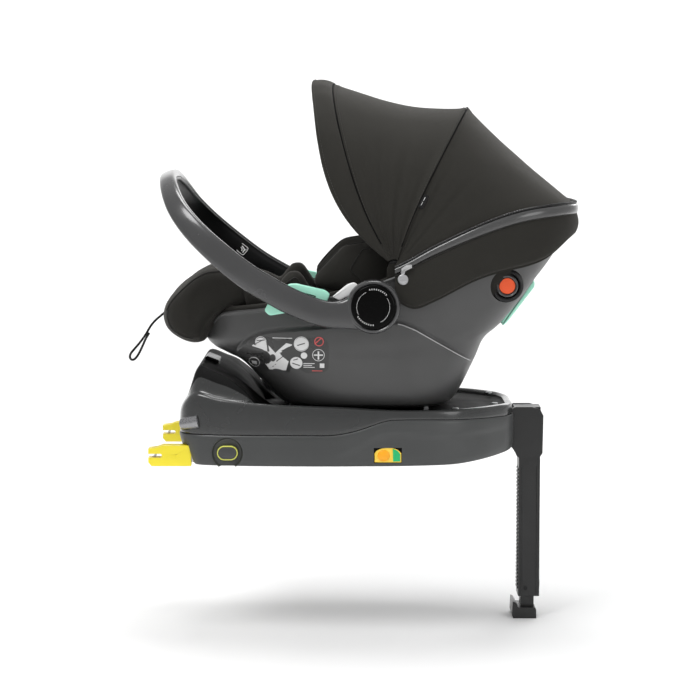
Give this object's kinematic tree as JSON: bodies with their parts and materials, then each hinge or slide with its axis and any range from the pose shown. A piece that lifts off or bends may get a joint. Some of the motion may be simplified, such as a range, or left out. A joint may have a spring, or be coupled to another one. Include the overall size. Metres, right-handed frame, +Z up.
{
  "type": "infant car seat",
  "caption": "Rear-facing infant car seat: a bucket carrier with carry handle and folding canopy, docked on an ISOFIX base with a telescopic support leg.",
  "frame": {"origin": "on the underside plane of the base, midway along the base and on its centre plane, where the base rests on the vehicle seat", "axes": "+X towards the head end and the support leg, -X towards the foot end and the ISOFIX connectors, +Z up"},
  "size_m": [0.7105, 0.444, 0.8645],
  "materials": {
    "base_plastic": "moulded, fine texture",
    "shell_plastic": "moulded, satin texture",
    "trim_yellow": "satin",
    "green_plastic": "satin",
    "silver_plastic": "satin",
    "steel": "brushed",
    "leg_plastic": "powder coat",
    "yellow_plastic": "satin",
    "black_plastic": "gloss",
    "orange_plastic": "satin",
    "gloss_trim": "satin gloss",
    "rubber": "matt",
    "mint_plastic": "satin",
    "white_plastic": "satin",
    "label": "printed sheet",
    "seat_cloth": "woven",
    "canopy_cloth": "woven",
    "webbing": "ribbed webbing",
    "zip_trim": "coated",
    "red_plastic": "gloss"
  },
  "bodies": {
    "base": {"base_lower_housing": "base_plastic", "base_upper_cover": "base_plastic", "button_trims": "trim_yellow", "indicator_frame": "trim_yellow", "indicator_marker": "green_plastic", "corner_caps": "silver_plastic", "dock_bars": "steel", "leg_bracket": "leg_plastic", "leg_hinge_pin": "steel", "base_screws": "steel"},
    "isofix_frame": {"isofix_arm_left": "steel", "isofix_arm_right": "steel", "isofix_connector_left": "yellow_plastic", "isofix_connector_right": "yellow_plastic", "isofix_yoke": "steel"},
    "hook_left": {"isofix_hook_left": "steel"},
    "hook_right": {"isofix_hook_right": "steel"},
    "arm_release_left": {"arm_button_left": "black_plastic"},
    "arm_release_right": {"arm_button_right": "black_plastic"},
    "indicator": {"indicator_button": "orange_plastic"},
    "carrier_release": {"release_button": "gloss_trim"},
    "leg_outer": {"leg_outer_tube": "leg_plastic"},
    "leg_lock": {"leg_button": "gloss_trim"},
    "leg_inner": {"leg_inner_tube": "leg_plastic", "leg_foot": "leg_plastic", "leg_sole": "rubber"},
    "carrier": {"carrier_shell": "shell_plastic", "handle_pivots": "black_plastic", "belt_guides": "mint_plastic", "rear_belt_guide": "mint_plastic", "guide_tabs": "white_plastic", "label_plates": "label", "seat_liner": "seat_cloth", "foot_pad": "seat_cloth", "side_bolsters": "seat_cloth", "harness_straps": "webbing", "shoulder_pads": "seat_cloth", "buckle": "black_plastic", "rear_boot": "canopy_cloth", "zip_band": "zip_trim", "zip_slider": "zip_trim", "pod_housings": "black_plastic", "canopy_pins": "black_plastic", "strap_loop": "webbing", "rear_panel": "canopy_cloth"},
    "harness_release": {"buckle_button": "red_plastic"},
    "harness_adjuster": {"adjuster_button": "gloss_trim"},
    "head_support": {"headrest": "seat_cloth"},
    "zip_tag": {"zip_pull": "steel"},
    "pod_left": {"side_pod_left": "orange_plastic"},
    "pod_right": {"side_pod_right": "orange_plastic"},
    "canopy_mid": {"mid_bow": "black_plastic", "front_panel": "canopy_cloth"},
    "canopy_front": {"front_bow": "black_plastic", "visor_band": "canopy_cloth"},
    "handle": {"handle_shell": "gloss_trim", "handle_cover": "black_plastic"},
    "handle_lock_left": {"hub_button_left": "black_plastic"},
    "handle_lock_right": {"hub_button_right": "black_plastic"}
  },
  "joints": [
    {"name": "isofix_slide", "type": "slide", "parent": "base", "child": "isofix_frame", "axis": [-1, 0, 0], "range_m": [0, 0.06]},
    {"name": "hook_left_turn", "type": "hinge", "parent": "isofix_frame", "child": "hook_left", "pos_m": [-0.266, 0.14, 0.013], "axis": [0, 1, 0], "range_deg": [0, 30], "stiffness_Nm_per_rad": 0.5},
    {"name": "hook_right_turn", "type": "hinge", "parent": "isofix_frame", "child": "hook_right", "pos_m": [-0.266, -0.14, 0.013], "axis": [0, 1, 0], "range_deg": [0, 30], "stiffness_Nm_per_rad": 0.5},
    {"name": "arm_release_left_press", "type": "slide", "parent": "base", "child": "arm_release_left", "axis": [0, -1, 0], "range_m": [0, 0.004], "stiffness_N_per_m": 600},
    {"name": "arm_release_right_press", "type": "slide", "parent": "base", "child": "arm_release_right", "axis": [0, 1, 0], "range_m": [0, 0.004], "stiffness_N_per_m": 600},
    {"name": "indicator_press", "type": "slide", "parent": "base", "child": "indicator", "axis": [0, 1, 0], "range_m": [0, 0.004], "stiffness_N_per_m": 600},
    {"name": "carrier_release_press", "type": "slide", "parent": "base", "child": "carrier_release", "axis": [0, 0, -1], "range_m": [0, 0.006], "stiffness_N_per_m": 600},
    {"name": "leg_fold", "type": "hinge", "parent": "base", "child": "leg_outer", "pos_m": [0.287, 0, 0.03], "axis": [0, 1, 0], "range_deg": [0, 90]},
    {"name": "leg_lock_press", "type": "slide", "parent": "leg_outer", "child": "leg_lock", "axis": [-1, 0, 0], "range_m": [0, 0.003], "stiffness_N_per_m": 600},
    {"name": "leg_extend", "type": "slide", "parent": "leg_outer", "child": "leg_inner", "axis": [0, 0, -1], "range_m": [0, 0.18]},
    {"name": "carrier_lift", "type": "slide", "parent": "base", "child": "carrier", "axis": [0, 0, 1], "range_m": [0, 0.12]},
    {"name": "handle_turn", "type": "hinge", "parent": "carrier", "child": "handle", "pos_m": [0.035, 0, 0.248], "axis": [0, 1, 0], "range_deg": [0, 150]},
    {"name": "handle_lock_left_press", "type": "slide", "parent": "handle", "child": "handle_lock_left", "axis": [0, -1, 0], "range_m": [0, 0.005], "stiffness_N_per_m": 600},
    {"name": "handle_lock_right_press", "type": "slide", "parent": "handle", "child": "handle_lock_right", "axis": [0, 1, 0], "range_m": [0, 0.005], "stiffness_N_per_m": 600},
    {"name": "headrest_slide", "type": "slide", "parent": "carrier", "child": "head_support", "axis": [0.677, 0, 0.736], "range_m": [0, 0.05]},
    {"name": "buckle_press", "type": "slide", "parent": "carrier", "child": "harness_release", "axis": [0, 0, -1], "range_m": [0, 0.003], "stiffness_N_per_m": 600},
    {"name": "adjuster_press", "type": "slide", "parent": "carrier", "child": "harness_adjuster", "axis": [0, 0, -1], "range_m": [0, 0.002], "stiffness_N_per_m": 600},
    {"name": "zip_tag_swing", "type": "hinge", "parent": "carrier", "child": "zip_tag", "pos_m": [0.08, -0.1956, 0.299], "axis": [0, 1, 0], "range_deg": [-50, 50]},
    {"name": "pod_left_slide", "type": "slide", "parent": "carrier", "child": "pod_left", "axis": [0, 1, 0], "range_m": [0, 0.02]},
    {"name": "pod_right_slide", "type": "slide", "parent": "carrier", "child": "pod_right", "axis": [0, -1, 0], "range_m": [0, 0.02]},
    {"name": "canopy_mid_fold", "type": "hinge", "parent": "carrier", "child": "canopy_mid", "pos_m": [0.068, 0, 0.306], "axis": [0, 1, 0], "range_deg": [0, 36], "deforming": ["rear_panel"]},
    {"name": "canopy_front_fold", "type": "hinge", "parent": "canopy_mid", "child": "canopy_front", "pos_m": [0.068, 0, 0.306], "axis": [0, 1, 0], "range_deg": [0, 36], "deforming": ["front_panel"]}
  ],
  "couplings": [
    {"joint": "canopy_front_fold", "follows": "canopy_mid_fold", "ratio": 1}
  ]
}
